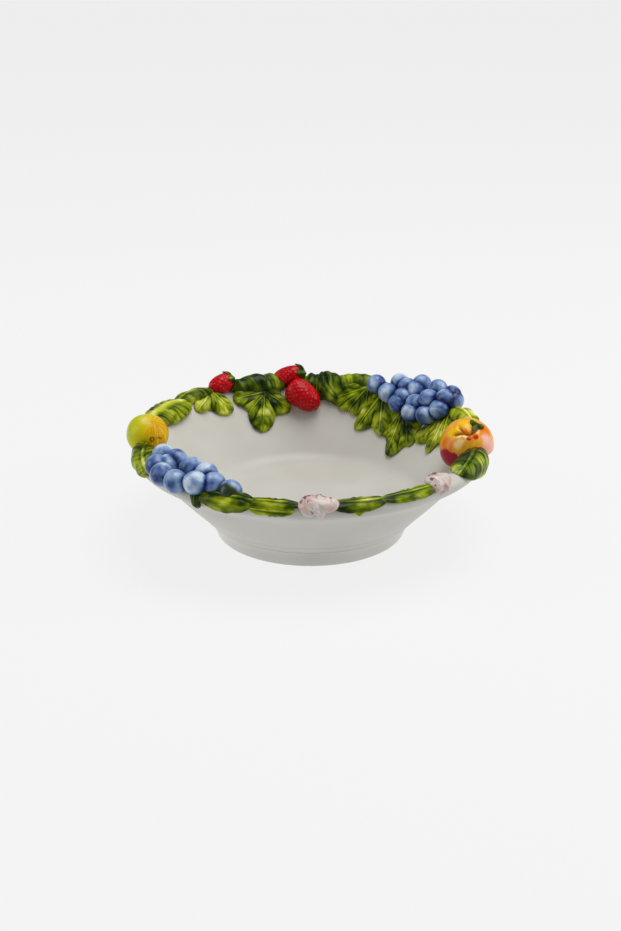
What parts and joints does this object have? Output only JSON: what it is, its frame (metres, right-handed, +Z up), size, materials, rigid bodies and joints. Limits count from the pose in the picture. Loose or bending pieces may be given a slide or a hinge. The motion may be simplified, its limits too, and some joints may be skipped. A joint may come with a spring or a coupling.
{
  "type": "ceramic bowl",
  "caption": "Round serving bowl of glazed earthenware on a foot ring, with a moulded garland of fruit, leaves and blossoms pressed on around its rim.",
  "frame": {"origin": "middle of the foot ring's standing face", "axes": "+Z up along the bowl's own axis, -Y towards the front of the bowl, +X to its right as seen from the front"},
  "size_m": [0.3302, 0.3298, 0.1117],
  "materials": {
    "white_glaze": "gloss",
    "biscuit_foot": "satin",
    "leaf_pale": "gloss",
    "leaf_mid": "gloss",
    "leaf_dark": "gloss",
    "grape_blue": "gloss",
    "strawberry_red": "gloss",
    "quince_yellow": "gloss",
    "peach_orange": "gloss",
    "blossom_pink": "gloss"
  },
  "bodies": {
    "root": {"foot_ring": "biscuit_foot", "bowl_body": "white_glaze", "leaf_under_quince": "leaf_mid", "leaf_oval_left": "leaf_pale", "leaf_narrow_back": "leaf_mid", "leaf_forked": "leaf_pale", "leaf_upper_back": "leaf_dark", "leaf_three_lobed": "leaf_mid", "leaf_ridge_back": "leaf_mid", "leaf_dark_back": "leaf_dark", "leaf_middle_back": "leaf_mid", "vine_leaf_left": "leaf_mid", "vine_leaf_middle": "leaf_mid", "vine_leaf_right": "leaf_pale", "leaf_small_right": "leaf_pale", "leaf_slender_front": "leaf_mid", "leaf_drooping_front": "leaf_mid", "leaf_under_front": "leaf_mid", "leaf_front": "leaf_mid", "leaf_left_front": "leaf_mid", "leaf_curled_tip": "leaf_dark", "blossom_front": "blossom_pink", "blossom_right": "blossom_pink", "quince": "quince_yellow", "peach": "peach_orange", "peach_leaf": "leaf_dark", "peach_calyx": "leaf_dark", "calyx_small": "leaf_dark", "calyx_upper": "leaf_dark", "strawberry_small": "strawberry_red", "strawberry_lower": "strawberry_red", "strawberry_upper": "strawberry_red", "front_grape_1": "grape_blue", "front_grape_2": "grape_blue", "front_grape_3": "grape_blue", "front_grape_4": "grape_blue", "front_grape_5": "grape_blue", "front_grape_6": "grape_blue", "front_grape_7": "grape_blue", "front_grape_8": "grape_blue", "front_grape_9": "grape_blue", "front_grape_10": "grape_blue", "front_grape_11": "grape_blue", "back_grape_1": "grape_blue", "back_grape_2": "grape_blue", "back_grape_3": "grape_blue", "back_grape_4": "grape_blue", "back_grape_5": "grape_blue", "back_grape_6": "grape_blue", "back_grape_7": "grape_blue", "back_grape_8": "grape_blue", "back_grape_9": "grape_blue", "back_grape_10": "grape_blue", "back_grape_11": "grape_blue", "back_grape_12": "grape_blue", "back_grape_13": "grape_blue", "back_grape_14": "grape_blue", "back_grape_15": "grape_blue", "back_grape_16": "grape_blue", "back_grape_17": "grape_blue"}
  },
  "joints": []
}
